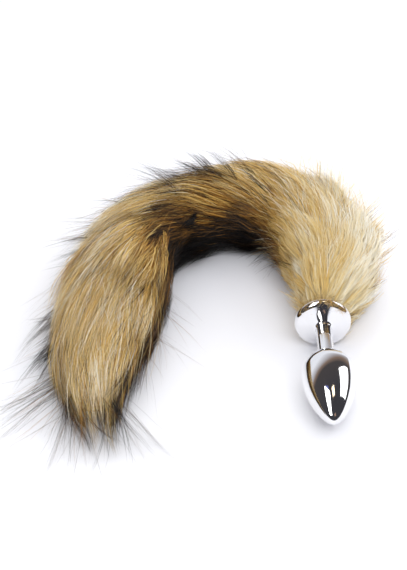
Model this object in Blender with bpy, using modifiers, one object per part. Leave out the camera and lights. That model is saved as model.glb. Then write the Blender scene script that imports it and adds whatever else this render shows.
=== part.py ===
# Fox tail plug lying on its side: a turned metal plug, a hidden post behind its
# disc, and a long fur tail that bends round and comes back beside the plug.
# Metres, +Z up. The floor is z = 0, the plug points to -Y and the tail to +Y.
import math

import bmesh
import bpy
import numpy as np
from mathutils import Matrix, Vector

# Gap between neighbouring pieces
CLEARANCE = 0.0003

# Turned plug
DISC_DIAMETER = 0.028
DISC_THICKNESS = 0.0030
DISC_BACK_EDGE = 0.0007
DISC_FRONT_EDGE = 0.0030
DISC_SLOPE = math.radians(20)
NECK_DIAMETER = 0.0080
NECK_LENGTH = 0.0232
NECK_FILLET = 0.0014
BULB_DIAMETER = 0.0262
BULB_SHOULDER = 0.0158
BULB_TAPER = 0.0350
SHOULDER_STEPS = 7
SHOULDER_SQUARENESS = 1.15
TURNED_SIDES = 40

# Post that carries the tail
POST_DIAMETER = 0.008
POST_LENGTH = 0.022
POST_SIDES = 32

# Tail: the backing under the fur, and how far its bend reaches
TAIL_SPREAD = 0.110
TAIL_REACH = 0.095
TAIL_RETURN = 0.172
BACKING_WIDTH = 0.0475
BACKING_HEIGHT = 0.0345
SHOULDER_SHARE = 0.42
UNDERSIDE_DIP = 0.0014
UNDERSIDE_SQUARENESS = 0.72
ROUTE_STEPS = 24
RING_SPACING = 0.0135
RING_SIDES = 16
FLAT_ANGLE = math.radians(1.5)

# Locks of fur
LOCK_SPACING = 0.0255
LOCK_LENGTH = 0.052
LOCK_WIDTH = 0.0205
LOCK_THICKNESS = 0.0078
LOCK_LIFT = 0.0054
LOCK_ROOT_DEPTH = 0.0026
LOCKS_ROUND = 7
LOCK_FIRST_ANGLE = math.radians(-24)
LOCK_LAST_ANGLE = math.radians(204)
LOCKED_SHARE = 0.86
THIN_LOCK_LENGTH = 0.55
THIN_LOCK_WIDTH = 0.35
SPLAYED_LOCK_WIDTH = 0.0125
SPLAYED_LOCK_LIFT = 0.0027

# Bulb, from its tip up to its widest place: share of the taper, share of the radius
BULB_TAPER_ROWS = [
    ("tip", 1.000, 0.000),
    ("nose", 0.993, 0.085),
    ("nose_side", 0.972, 0.172),
    ("point", 0.930, 0.280),
    ("lower_cone", 0.840, 0.440),
    ("cone", 0.700, 0.622),
    ("upper_cone", 0.540, 0.783),
    ("belly_side", 0.380, 0.898),
    ("belly", 0.200, 0.974),
    ("widest", 0.000, 1.000),
]

# Route of the tail. Across is a share of TAIL_SPREAD, to the left. Away is a share of
# TAIL_REACH behind the disc, and back a share of TAIL_RETURN from the far side of the
# bend. Width and height are shares of the backing's.
ROUTE_ROWS = [
    ("collar", 0.000, -0.030, 0.000, 0.42, 0.72),
    ("root", -0.022, 0.100, 0.000, 0.58, 0.84),
    ("rise", -0.075, 0.400, 0.000, 0.90, 1.00),
    ("turn_in", -0.034, 0.730, 0.000, 0.97, 1.00),
    ("turn", 0.080, 0.940, 0.000, 0.92, 0.99),
    ("far_side", 0.255, 1.030, 0.000, 0.88, 0.97),
    ("arch", 0.470, 1.030, 0.010, 0.85, 0.95),
    ("turn_out", 0.690, 1.010, 0.062, 0.82, 0.95),
    ("limb_top", 0.840, 1.000, 0.210, 0.82, 0.94),
    ("limb", 0.920, 1.000, 0.390, 0.93, 0.90),
    ("limb_middle", 0.965, 1.000, 0.560, 0.95, 0.84),
    ("limb_low", 1.010, 1.000, 0.705, 0.80, 0.72),
    ("taper", 1.018, 1.000, 0.830, 0.56, 0.56),
    ("point", 1.000, 1.000, 0.930, 0.32, 0.36),
    ("tip", 0.975, 1.000, 1.000, 0.10, 0.14),
]

# One lock: share of its length, of its width, of its thickness and of its lift
LOCK_ROWS = [
    ("root", 0.00, 0.50, 0.70, -1.0),
    ("spread", 0.26, 1.00, 1.00, 0.25),
    ("middle", 0.56, 0.86, 0.84, 0.62),
    ("thin", 0.82, 0.44, 0.50, 0.90),
    ("end", 1.00, 0.00, 0.00, 1.15),
]

# Locks splayed off the outer side of the bend and at the end of the tail: where each
# starts as a share of the tail, its angle round the tail, its length as a share of
# LOCK_LENGTH, and how far it swings out as a share of BACKING_WIDTH. Angle 0 is the
# outer side of the bend.
SPLAYED_ROWS = [
    ("arch_side", 0.470, 12, 0.70, 0.16),
    ("turn_out_side", 0.535, 2, 0.70, 0.17),
    ("limb_top_side", 0.585, 14, 0.72, 0.20),
    ("limb_top_low", 0.630, -6, 0.74, 0.22),
    ("limb_side", 0.670, 12, 0.76, 0.24),
    ("limb_low", 0.705, -6, 0.78, 0.25),
    ("middle_side", 0.740, 10, 0.80, 0.27),
    ("outer_fringe", 0.790, 4, 0.92, 0.46),
    ("outer_splay", 0.825, 14, 1.06, 0.42),
    ("outer_point", 0.860, 38, 1.10, 0.40),
    ("top_point", 0.895, 76, 1.04, 0.12),
    ("under_point", 0.870, 20, 1.16, 0.14),
    ("inner_point", 0.895, 140, 0.84, -0.02),
    ("inner_splay", 0.850, 172, 0.74, -0.08),
]


def clear_scene():
    for item in list(bpy.data.objects):
        bpy.data.objects.remove(item, do_unlink=True)


def new_collection(name):
    collection = bpy.data.collections.new(name)
    bpy.context.scene.collection.children.link(collection)
    return collection


def new_material(name, colour, roughness, metallic):
    material = bpy.data.materials.new(name)
    material.use_nodes = True
    shader = material.node_tree.nodes["Principled BSDF"]
    shader.inputs["Base Color"].default_value = (*colour, 1.0)
    shader.inputs["Roughness"].default_value = roughness
    shader.inputs["Metallic"].default_value = metallic
    material.diffuse_color = (*colour, 1.0)
    return material


def new_object(name, mesh, collection, material=None):
    item = bpy.data.objects.new(name, mesh)
    collection.objects.link(item)
    if material:
        mesh.materials.append(material)
    return item


def evaluated_mesh(item):
    """The object's mesh with its modifiers applied, in its own coordinates."""
    bpy.context.view_layer.update()
    depsgraph = bpy.context.evaluated_depsgraph_get()
    return bpy.data.meshes.new_from_object(item.evaluated_get(depsgraph))


def world_points(item):
    mesh = evaluated_mesh(item)
    points = np.array([item.matrix_world @ vertex.co for vertex in mesh.vertices])
    bpy.data.meshes.remove(mesh)
    return points


def mark_as_tool(item):
    item.hide_render = True
    item.display_type = "WIRE"


# Plug
def arc_points(centre, radius, first, last, steps):
    """Points of an arc in the profile's plane, as (radius from the axis, height)."""
    angles = [first + (last - first) * step / steps for step in range(steps + 1)]
    return [(centre[0] + radius * math.cos(a), centre[1] + radius * math.sin(a)) for a in angles]


def disc_profile():
    """The disc from the neck's foot to its back: a shallow cone with a round front edge."""
    neck_radius = NECK_DIAMETER / 2
    disc_radius = DISC_DIAMETER / 2
    back_edge = min(DISC_BACK_EDGE, DISC_THICKNESS * 0.45)
    rim = back_edge - DISC_THICKNESS
    front = arc_points((disc_radius - DISC_FRONT_EDGE, rim), DISC_FRONT_EDGE, math.pi / 2 - DISC_SLOPE, 0, 5)
    cone_edge, cone_low = front[0]
    cone_top = neck_radius + NECK_FILLET * (1 - math.sin(DISC_SLOPE))
    foot = cone_low + (cone_edge - cone_top) * math.tan(DISC_SLOPE) + NECK_FILLET * math.cos(DISC_SLOPE)
    fillet = arc_points((neck_radius + NECK_FILLET, foot), NECK_FILLET, math.pi,
                        math.pi * 1.5 - DISC_SLOPE, 4)
    back = arc_points((disc_radius - back_edge, rim), back_edge, 0, -math.pi / 2, 3)
    return fillet + front + back[1:] + [(0.0, -DISC_THICKNESS)]


def plug_profile():
    """Outer side from the bulb's tip down to the back of the disc, height 0 near the disc's face."""
    bulb_radius = BULB_DIAMETER / 2
    neck_radius = NECK_DIAMETER / 2
    widest = NECK_LENGTH + BULB_SHOULDER
    points = [(bulb_radius * r, widest + BULB_TAPER * s) for _, s, r in BULB_TAPER_ROWS]
    for step in range(1, SHOULDER_STEPS + 1):
        rise = math.cos(math.pi / 2 * step / SHOULDER_STEPS) ** SHOULDER_SQUARENESS
        height = NECK_LENGTH + BULB_SHOULDER * (1 - step / SHOULDER_STEPS)
        points.append((neck_radius + (bulb_radius - neck_radius) * rise, height))
    return points + disc_profile()


def plug_placement():
    """The plug lies on its disc's rim and on its bulb, with its tip towards -Y."""
    apart = NECK_LENGTH + BULB_SHOULDER + DISC_THICKNESS - DISC_BACK_EDGE
    dip = math.asin((DISC_DIAMETER - BULB_DIAMETER) / 2 / apart)
    return Matrix.Rotation(math.pi / 2 + dip, 4, "X")


def make_plug(collection, material):
    profile = plug_profile()
    mesh = bpy.data.meshes.new("plug")
    edges = [(index, index + 1) for index in range(len(profile) - 1)]
    mesh.from_pydata([(r, 0.0, h) for r, h in profile], edges, [])
    plug = new_object("plug", mesh, collection, material)
    screw = plug.modifiers.new("turn", "SCREW")
    screw.axis = "Z"
    screw.angle = 2 * math.pi
    screw.steps = TURNED_SIDES
    screw.render_steps = TURNED_SIDES
    screw.use_merge_vertices = True
    screw.merge_threshold = 0.00001
    screw.use_smooth_shade = True
    plug.matrix_world = plug_placement()
    lowest = min(point[2] for point in world_points(plug))
    plug.matrix_world = Matrix.Translation((0, 0, -lowest)) @ plug_placement()
    bpy.context.view_layer.update()
    return plug


# Post
def cylinder_mesh(name, radius, low, high, sides=POST_SIDES):
    """A cylinder along Z between two heights."""
    mesh = bpy.data.meshes.new(name)
    shape = bmesh.new()
    middle = Matrix.Translation((0, 0, (low + high) / 2))
    bmesh.ops.create_cone(shape, cap_ends=True, segments=sides, radius1=radius,
                          radius2=radius, depth=high - low, matrix=middle)
    shape.to_mesh(mesh)
    shape.free()
    return mesh


def make_post(collection, material, placement):
    top = -DISC_THICKNESS - CLEARANCE
    mesh = cylinder_mesh("tail_post", POST_DIAMETER / 2, top - POST_LENGTH, top)
    mesh.shade_smooth()
    mesh.set_sharp_from_angle(angle=math.radians(40))
    post = new_object("tail_post", mesh, collection, material)
    post.matrix_world = placement
    return post


# Tail
def smooth_table(rows):
    """Reads the route's rows as points, and returns them closely spaced on a smooth curve."""
    start = DISC_THICKNESS + CLEARANCE
    rows_in_metres = []
    for _, across, away, back, width, height in rows:
        y = start + TAIL_REACH * away - TAIL_RETURN * back
        x = -TAIL_SPREAD * across
        rows_in_metres.append((x, y, BACKING_WIDTH * width, BACKING_HEIGHT * height))
    rows_in_metres = np.array(rows_in_metres)
    fine = []
    last = len(rows_in_metres) - 1
    for index in range(last):
        before, here, after, beyond = (rows_in_metres[min(max(index + k, 0), last)] for k in (-1, 0, 1, 2))
        for step in range(ROUTE_STEPS):
            t = step / ROUTE_STEPS
            fine.append(0.5 * (2 * here + (after - before) * t
                               + (2 * before - 5 * here + 4 * after - beyond) * t ** 2
                               + (3 * here - before - 3 * after + beyond) * t ** 3))
    fine.append(rows_in_metres[last])
    fine = np.array(fine)
    steps_taken = np.linalg.norm(np.diff(fine[:, :2], axis=0), axis=1)
    return np.concatenate([[0], np.cumsum(steps_taken)]), fine


class Tail:
    """Places points by their way along the tail, their angle round it and their height off it."""

    def __init__(self, rows):
        self.lengths, self.fine = smooth_table(rows)
        self.length = float(self.lengths[-1])

    def at(self, along):
        return np.array([np.interp(along, self.lengths, self.fine[:, k]) for k in range(4)])

    def frame(self, along):
        step = 0.002
        ahead = self.at(min(along + step, self.length))
        behind = self.at(max(along - step, 0.0))
        forward = Vector((ahead[0] - behind[0], ahead[1] - behind[1], 0)).normalized()
        side = forward.cross(Vector((0, 0, 1)))
        return forward, side

    def section(self, along, angle):
        """Distance aside and height of the surface. Angle 0 is the outer side, 90 degrees the top."""
        _, _, width, height = self.at(along)
        shoulder = height * SHOULDER_SHARE
        cosine = math.cos(angle)
        sine = math.sin(angle)
        if sine >= 0:
            return width / 2 * cosine, shoulder + (height - shoulder) * sine
        aside = width / 2 * math.copysign(abs(cosine) ** UNDERSIDE_SQUARENESS, cosine)
        return aside, shoulder - (shoulder + UNDERSIDE_DIP) * abs(sine) ** UNDERSIDE_SQUARENESS

    def point(self, along, angle, lift=0.0, turn_aside=0.0):
        """A point over the backing. Past the tail's end the point goes straight on."""
        inside = min(along, self.length)
        beyond = along - inside
        forward, side = self.frame(inside)
        aside, height = self.section(inside, angle)
        step = 0.02
        next_aside, next_height = self.section(inside, angle + step)
        outward = Vector((next_height - height, aside - next_aside)).normalized()
        x, y = self.at(inside)[:2]
        centre = Vector((x, y, 0)) + forward * beyond
        return (centre + side * (aside + outward.x * lift + turn_aside)
                + Vector((0, 0, height + outward.y * lift)))


def loft(rings, start_point=None, end_point=None):
    """A closed body through rings of equal count, ending in a point or a flat cap."""
    shape = bmesh.new()
    loops = [[shape.verts.new(point) for point in ring] for ring in rings]
    count = len(loops[0])
    for first, second in zip(loops, loops[1:]):
        for index in range(count):
            following = (index + 1) % count
            shape.faces.new((first[index], first[following], second[following], second[index]))
    for loop, point in ((loops[0], start_point), (loops[-1], end_point)):
        if point is None:
            shape.faces.new(loop)
            continue
        tip = shape.verts.new(point)
        for index in range(count):
            shape.faces.new((loop[index], loop[(index + 1) % count], tip))
    bmesh.ops.recalc_face_normals(shape, faces=shape.faces)
    bmesh.ops.triangulate(shape, faces=shape.faces)
    return shape


def shape_to_object(shape, name, collection, material=None):
    mesh = bpy.data.meshes.new(name)
    shape.to_mesh(mesh)
    shape.free()
    return new_object(name, mesh, collection, material)


def backing_rings(tail):
    count = round(tail.length / RING_SPACING)
    angles = [2 * math.pi * (index + 0.5) / RING_SIDES for index in range(RING_SIDES)]
    ways = [tail.length * ring / count for ring in range(count + 1)]
    return [[tail.point(way, angle) for angle in angles] for way in ways]


def lock_body(tail, start, angle, length, width, thickness, lift, drift, turn_aside):
    """A tapered strip with a ridge, rooted in the backing and pointing along the tail."""
    rings = []
    tip = None
    for _, share, wide, thick, raised in LOCK_ROWS:
        along = start + length * share
        rise = raised * lift if raised > 0 else -LOCK_ROOT_DEPTH
        turned = angle + drift * share
        aside = turn_aside * share ** 1.6
        centre = tail.point(along, turned, rise, aside)
        if wide == 0:
            tip = centre
            continue
        step = 0.0015
        turned_ahead = turned + drift * step / length
        forward = (tail.point(along + step, turned_ahead, rise, aside) - centre).normalized()
        outward = (tail.point(along, turned, rise + step, aside) - centre).normalized()
        across = forward.cross(outward).normalized()
        outward = across.cross(forward)
        half = across * width * wide / 2
        up = outward * thickness * thick / 2
        rings.append([centre + half, centre + up, centre - half, centre - up])
    return loft(rings, end_point=tip)


def between(first, last, share):
    return first + (last - first) * share


def lock_table(tail):
    """Every lock along the tail, in staggered rows, with sizes that vary a little by rule."""
    golden = 0.618034
    rows = int(tail.length * LOCKED_SHARE / LOCK_SPACING)
    table = []
    for row in range(rows):
        start = LOCK_SPACING * (row + 0.12)
        width_here = tail.at(start)[2] / BACKING_WIDTH
        for place in range(LOCKS_ROUND):
            number = row * LOCKS_ROUND + place
            chance = (number * golden) % 1.0
            other = (number * golden * golden + 0.37) % 1.0
            step = (LOCK_LAST_ANGLE - LOCK_FIRST_ANGLE) / (LOCKS_ROUND - 0.5)
            angle = LOCK_FIRST_ANGLE + step * (place + 0.5 * (row % 2))
            table.append({
                "start": start + LOCK_SPACING * 0.7 * (chance - 0.35),
                "angle": angle + 0.14 * (other - 0.5),
                "length": LOCK_LENGTH * (0.86 + 0.3 * other) * between(THIN_LOCK_LENGTH, 1, width_here),
                "width": LOCK_WIDTH * (0.86 + 0.26 * chance) * between(THIN_LOCK_WIDTH, 1, width_here),
                "lift": LOCK_LIFT * (0.75 + 0.7 * chance),
                "drift": 0.32 * (other - 0.5),
                "turn_aside": 0.0,
            })
    for _, start, degrees, length, turn in SPLAYED_ROWS:
        table.append({
            "start": tail.length * start,
            "angle": math.radians(degrees),
            "length": LOCK_LENGTH * length,
            "width": SPLAYED_LOCK_WIDTH,
            "lift": SPLAYED_LOCK_LIFT,
            "drift": 0.0,
            "turn_aside": BACKING_WIDTH * turn,
        })
    return table


def combine(base, tools, operation):
    """Joins the tools to the base, or cuts them from it, and removes them."""
    group = bpy.data.collections.new("tools")
    bpy.context.scene.collection.children.link(group)
    for tool in tools:
        group.objects.link(tool)
    boolean = base.modifiers.new("combine", "BOOLEAN")
    boolean.operation = operation
    boolean.solver = "MANIFOLD"
    boolean.operand_type = "COLLECTION"
    boolean.collection = group
    result = evaluated_mesh(base)
    base.modifiers.remove(boolean)
    old = base.data
    base.data = result
    bpy.data.meshes.remove(old)
    for tool in tools:
        bpy.data.objects.remove(tool, do_unlink=True)
    bpy.data.collections.remove(group)


def joined_faces(first):
    """All the faces that can be reached from one face across edges of two faces."""
    found = {first}
    search = [first]
    while search:
        for edge in search.pop().edges:
            if len(edge.link_faces) != 2:
                continue
            for face in edge.link_faces:
                if face not in found:
                    found.add(face)
                    search.append(face)
    return found


def keep_outer_shell(item):
    """Fills the small hollows that locks enclose between them, and drops slivers."""
    shape = bmesh.new()
    shape.from_mesh(item.data)
    waiting = set(shape.faces)
    shells = []
    while waiting:
        shell = joined_faces(next(iter(waiting)))
        waiting -= shell
        shells.append(shell)
    largest = max(shells, key=len)
    spare = [face for face in shape.faces if face not in largest]
    bmesh.ops.delete(shape, geom=spare, context="FACES")
    bmesh.ops.dissolve_limit(shape, angle_limit=FLAT_ANGLE, verts=shape.verts, edges=shape.edges)
    bmesh.ops.triangulate(shape, faces=shape.faces)
    shape.to_mesh(item.data)
    shape.free()


def box_object(name, low, high, collection, placement=None):
    """A box between two corners, turned and moved by a matrix if one is given."""
    low = Vector(low)
    high = Vector(high)
    shape = bmesh.new()
    fitted = Matrix.Translation((low + high) / 2) @ Matrix.Diagonal((*(high - low), 1.0))
    bmesh.ops.create_cube(shape, size=1.0, matrix=fitted)
    box = shape_to_object(shape, name, collection)
    if placement:
        box.matrix_world = placement
    return box


def make_fur(collection, tools, material, placement):
    tail = Tail(ROUTE_ROWS)
    fur = shape_to_object(loft(backing_rings(tail)), "tail_fur", collection, material)
    locks = []
    for number, row in enumerate(lock_table(tail)):
        body = lock_body(tail, row["start"], row["angle"], row["length"], row["width"],
                         LOCK_THICKNESS, row["lift"], row["drift"], row["turn_aside"])
        lock = shape_to_object(body, f"lock_{number:03d}", tools)
        mark_as_tool(lock)
        locks.append(lock)
    combine(fur, locks, "UNION")

    # The floor, the disc's back and the post each cut their own room
    reach = 3 * (TAIL_SPREAD + TAIL_REACH + TAIL_RETURN)
    behind_disc = -DISC_THICKNESS - CLEARANCE
    floor = box_object("floor_cut", (-reach, -reach, -reach), (reach, reach, 0), tools)
    front = box_object("disc_cut", (-DISC_DIAMETER, -DISC_DIAMETER, behind_disc),
                       (DISC_DIAMETER, DISC_DIAMETER, DISC_DIAMETER), tools, placement)
    bore = new_object("post_cut", cylinder_mesh("post_cut", POST_DIAMETER / 2 + CLEARANCE,
                      behind_disc - POST_LENGTH - CLEARANCE, DISC_DIAMETER / 2), tools)
    bore.matrix_world = placement
    for cutter in (floor, front, bore):
        mark_as_tool(cutter)
    combine(fur, [floor, front, bore], "DIFFERENCE")
    keep_outer_shell(fur)
    fur.data.shade_smooth()
    fur.data.set_sharp_from_angle(angle=math.radians(35))
    return fur


def centre_on_floor(items, name):
    """Hangs the pieces on an empty so that the origin is under the middle of their box."""
    points = np.vstack([world_points(item) for item in items])
    low = points.min(axis=0)
    high = points.max(axis=0)
    base = bpy.data.objects.new(name, None)
    items[0].users_collection[0].objects.link(base)
    for item in items:
        placed = item.matrix_world.copy()
        item.parent = base
        item.matrix_world = placed
    base.location = (-(low[0] + high[0]) / 2, -(low[1] + high[1]) / 2, -low[2])
    bpy.context.view_layer.update()


def main():
    clear_scene()
    parts = new_collection("fox_tail_plug")
    tools = new_collection("cutters")
    polished = new_material("polished_metal", (0.80, 0.80, 0.82), 0.06, 1.0)
    plain_metal = new_material("post_metal", (0.55, 0.55, 0.56), 0.35, 1.0)
    fur_brown = new_material("fox_fur", (0.52, 0.38, 0.22), 0.85, 0.0)
    plug = make_plug(parts, polished)
    post = make_post(parts, plain_metal, plug.matrix_world.copy())
    fur = make_fur(parts, tools, fur_brown, plug.matrix_world.copy())
    centre_on_floor([plug, post, fur], "fox_tail_plug_base")


main()
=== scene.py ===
# %% [markdown]
# A polished metal plug with a long fur tail lies on a white table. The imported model
# gives the sizes and places. This script keeps them and makes the looks: real hair in
# place of the plain fur body, a mirror finish on the metal, and the white studio.

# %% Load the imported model
import math

import bmesh
import bpy
import numpy as np
from mathutils import Matrix, Vector


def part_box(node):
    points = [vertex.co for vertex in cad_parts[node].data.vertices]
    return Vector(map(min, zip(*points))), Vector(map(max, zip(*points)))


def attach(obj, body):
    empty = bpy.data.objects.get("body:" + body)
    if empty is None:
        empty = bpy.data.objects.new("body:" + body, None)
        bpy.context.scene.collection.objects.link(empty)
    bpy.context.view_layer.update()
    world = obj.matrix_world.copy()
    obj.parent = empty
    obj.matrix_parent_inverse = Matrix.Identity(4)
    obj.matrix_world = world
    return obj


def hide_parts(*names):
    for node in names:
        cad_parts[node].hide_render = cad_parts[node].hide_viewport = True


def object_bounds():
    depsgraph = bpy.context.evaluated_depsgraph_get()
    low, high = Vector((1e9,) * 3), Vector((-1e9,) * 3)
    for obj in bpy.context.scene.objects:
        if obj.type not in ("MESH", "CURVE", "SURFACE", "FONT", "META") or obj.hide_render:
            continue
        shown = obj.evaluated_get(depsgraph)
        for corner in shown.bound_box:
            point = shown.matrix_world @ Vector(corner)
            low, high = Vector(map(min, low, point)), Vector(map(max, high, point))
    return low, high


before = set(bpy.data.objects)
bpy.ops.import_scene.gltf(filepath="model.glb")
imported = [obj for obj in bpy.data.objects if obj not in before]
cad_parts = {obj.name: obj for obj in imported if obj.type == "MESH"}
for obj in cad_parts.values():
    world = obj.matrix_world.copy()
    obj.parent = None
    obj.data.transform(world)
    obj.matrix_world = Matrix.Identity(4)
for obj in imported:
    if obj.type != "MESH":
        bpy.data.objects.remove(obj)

cad_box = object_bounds()
plug_low, plug_high = (Vector(corner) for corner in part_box("plug"))
print("nodes:", sorted(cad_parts), "box:", [list(corner) for corner in cad_box])

# %% [markdown]
# The camera comes first, because everything is judged through it. The flange, neck and
# bulb were measured in the photograph, and a camera one metre away, tipped down by
# 35 degrees, draws them in the same places. The lens follows from the picture's height,
# because Blender's sensor width belongs to the longer side of the picture.

# %% Camera
PHOTO_WIDTH = 407
PHOTO_HEIGHT = 570
CAMERA_DISTANCE = 1.0
CAMERA_ELEVATION = math.radians(35.4)
CAMERA_HEADING = math.radians(1.3)
FOCAL_PIXELS = 2026.0
FLANGE_PIXEL = (323.1, 324.8)
SENSOR_WIDTH = 36.0

DISC_DIAMETER = 0.028
DISC_THICKNESS = 0.0030
DISC_BACK_EDGE = 0.0007
BULB_DIAMETER = 0.0262
NECK_LENGTH = 0.0232
BULB_SHOULDER = 0.0158
BULB_TAPER = 0.0350
widest = NECK_LENGTH + BULB_SHOULDER
rim = DISC_BACK_EDGE - DISC_THICKNESS
dip = math.asin((DISC_DIAMETER - BULB_DIAMETER) / 2 / (widest - rim))
flange_centre = Vector(((plug_low.x + plug_high.x) / 2,
                        plug_low.y + (widest + BULB_TAPER) * math.cos(dip),
                        DISC_DIAMETER / 2 * math.cos(dip) + rim * math.sin(dip)))


def camera_axes(heading, elevation):
    """Forward, right and up for a level camera with a heading from +Y and an angle down."""
    forward = Vector((math.sin(heading) * math.cos(elevation),
                      math.cos(heading) * math.cos(elevation), -math.sin(elevation)))
    right = Vector((math.cos(heading), -math.sin(heading), 0))
    return forward, right, right.cross(forward)


def add_camera():
    forward, right, up = camera_axes(CAMERA_HEADING, CAMERA_ELEVATION)
    aside = (FLANGE_PIXEL[0] - PHOTO_WIDTH / 2) / FOCAL_PIXELS
    above = (PHOTO_HEIGHT / 2 - FLANGE_PIXEL[1]) / FOCAL_PIXELS
    place = flange_centre - CAMERA_DISTANCE * (forward + aside * right + above * up)
    data = bpy.data.cameras.new("camera")
    data.sensor_width = SENSOR_WIDTH
    data.lens = FOCAL_PIXELS / PHOTO_HEIGHT * SENSOR_WIDTH
    data.clip_start = 0.01
    camera = bpy.data.objects.new("camera", data)
    turn = Matrix((right, up, -forward)).transposed().to_4x4()
    camera.matrix_world = Matrix.Translation(place) @ turn
    bpy.context.scene.collection.objects.link(camera)
    bpy.context.scene.camera = camera
    return camera


camera = add_camera()
print("camera at", [round(v, 4) for v in camera.location], "lens", round(camera.data.lens, 1))

# %% [markdown]
# Helpers for shader nodes. Each material is a Principled shader with a few nodes in
# front of it, so the helpers only add a node, set its values and join it up.

# %% Node helpers
def new_material(name):
    material = bpy.data.materials.new(name)
    material.use_nodes = True
    shader = material.node_tree.nodes["Principled BSDF"]
    return material, shader


def add_node(material, kind, inputs=None, **settings):
    node = material.node_tree.nodes.new(kind)
    for key, value in settings.items():
        setattr(node, key, value)
    for key, value in (inputs or {}).items():
        if isinstance(value, bpy.types.NodeSocket):
            material.node_tree.links.new(value, node.inputs[key])
        else:
            node.inputs[key].default_value = value
    return node


def join(material, output, socket):
    material.node_tree.links.new(output, socket)


def colour_ramp(material, factor, stops):
    """A ColorRamp through (place, sRGB colour) stops."""
    ramp = add_node(material, "ShaderNodeValToRGB", {"Fac": factor})
    elements = ramp.color_ramp.elements
    while len(elements) > 1:
        elements.remove(elements[-1])
    for index, (place, colour) in enumerate(stops):
        element = elements[0] if index == 0 else elements.new(place)
        element.position = place
        element.color = (*(linear(channel) for channel in colour), 1.0)
    return ramp.outputs["Color"]


def linear(channel):
    """One sRGB channel, 0 to 255, as the linear value that a shader wants."""
    share = channel / 255
    return share / 12.92 if share <= 0.04045 else ((share + 0.055) / 1.055) ** 2.4


# %% [markdown]
# The plug is turned from one bar and polished to a mirror. A mirror shows every facet,
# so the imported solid, which has forty flat sides, is replaced by a finer turning of the
# same outline. The outline is spun round its axis, and each point gets the exact normal
# of the outline. The flange is a shallow cone, which is why its top mirrors the dark room
# and its sides the white table.

# %% Outline of the plug
DISC_FRONT_EDGE = 0.0030
DISC_SLOPE = math.radians(20)
NECK_DIAMETER = 0.0080
NECK_FILLET = 0.0014
SHOULDER_SQUARENESS = 1.15
SHOULDER_STEPS = 24
TAPER_STEPS = 6

# From the tip up to the widest place: share of the taper, share of the radius
BULB_TAPER_ROWS = [
    ("tip", 1.000, 0.000),
    ("nose", 0.993, 0.085),
    ("nose_side", 0.972, 0.172),
    ("point", 0.930, 0.280),
    ("lower_cone", 0.840, 0.440),
    ("cone", 0.700, 0.622),
    ("upper_cone", 0.540, 0.783),
    ("belly_side", 0.380, 0.898),
    ("belly", 0.200, 0.974),
    ("widest", 0.000, 1.000),
]


def curve_through(points, steps):
    """Points on a smooth curve through the given ones (Catmull and Rom's spline)."""
    points = np.array(points, dtype=float)
    last = len(points) - 1
    curve = []
    for index in range(last):
        before, here, after, beyond = (points[min(max(index + k, 0), last)] for k in (-1, 0, 1, 2))
        for step in range(steps):
            t = step / steps
            curve.append(0.5 * (2 * here + (after - before) * t
                                + (2 * before - 5 * here + 4 * after - beyond) * t ** 2
                                + (3 * here - before - 3 * after + beyond) * t ** 3))
    curve.append(points[last])
    return np.array(curve)


def arc(centre, radius, first, last, steps):
    angles = np.linspace(first, last, steps + 1)
    return [(centre[0] + radius * math.cos(a), centre[1] + radius * math.sin(a)) for a in angles]


def disc_outline():
    """From the neck's foot over the coned face and the rim to the middle of the back."""
    neck = NECK_DIAMETER / 2
    disc = DISC_DIAMETER / 2
    front = arc((disc - DISC_FRONT_EDGE, rim), DISC_FRONT_EDGE, math.pi / 2 - DISC_SLOPE, 0, 14)
    cone_edge, cone_low = front[0]
    cone_top = neck + NECK_FILLET * (1 - math.sin(DISC_SLOPE))
    foot = cone_low + (cone_edge - cone_top) * math.tan(DISC_SLOPE) + NECK_FILLET * math.cos(DISC_SLOPE)
    fillet = arc((neck + NECK_FILLET, foot), NECK_FILLET, math.pi, math.pi * 1.5 - DISC_SLOPE, 8)
    back = arc((disc - DISC_BACK_EDGE, rim), DISC_BACK_EDGE, 0, -math.pi / 2, 6)
    return fillet + front + back[1:] + [(0.0, -DISC_THICKNESS)]


def plug_stretches():
    """The outline as two stretches that are each smooth: the bulb, then the neck and flange."""
    bulb = BULB_DIAMETER / 2
    neck = NECK_DIAMETER / 2
    rows = [(bulb * r, widest + BULB_TAPER * s) for _, s, r in BULB_TAPER_ROWS]
    mirrored = [(-rows[1][0], rows[1][1])] + rows + [(rows[-2][0], widest - BULB_TAPER * 0.2)]
    taper = curve_through(mirrored, TAPER_STEPS)[TAPER_STEPS:-TAPER_STEPS]
    shoulder = []
    for step in range(SHOULDER_STEPS + 1):
        turn = math.pi / 2 * step / SHOULDER_STEPS
        rise = math.cos(turn) ** SHOULDER_SQUARENESS
        shoulder.append((neck + (bulb - neck) * rise, widest - BULB_SHOULDER * step / SHOULDER_STEPS))
    return [list(taper[:-1]) + shoulder, [shoulder[-1]] + disc_outline()]


def outline_normals(points):
    """Outward normal at each outline point, flat next to a long straight edge."""
    points = np.array(points)
    edges = np.diff(points, axis=0)
    lengths = np.linalg.norm(edges, axis=1)
    turned = np.stack([-edges[:, 1], edges[:, 0]], axis=1) / lengths[:, None]
    normals = np.empty_like(points)
    normals[0] = turned[0]
    normals[-1] = turned[-1]
    for index in range(1, len(points) - 1):
        before, after = lengths[index - 1], lengths[index]
        weight = before / (before + after)
        normals[index] = turned[index - 1] * weight + turned[index] * (1 - weight)
    return normals / np.linalg.norm(normals, axis=1)[:, None]


stretches = plug_stretches()
print("outline points:", [len(stretch) for stretch in stretches])

# %% Turn the plug
PLUG_SIDES = 128
plug_placement = (Matrix.Translation(flange_centre) @ Matrix.Rotation(math.pi / 2 + dip, 4, "X"))


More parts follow.
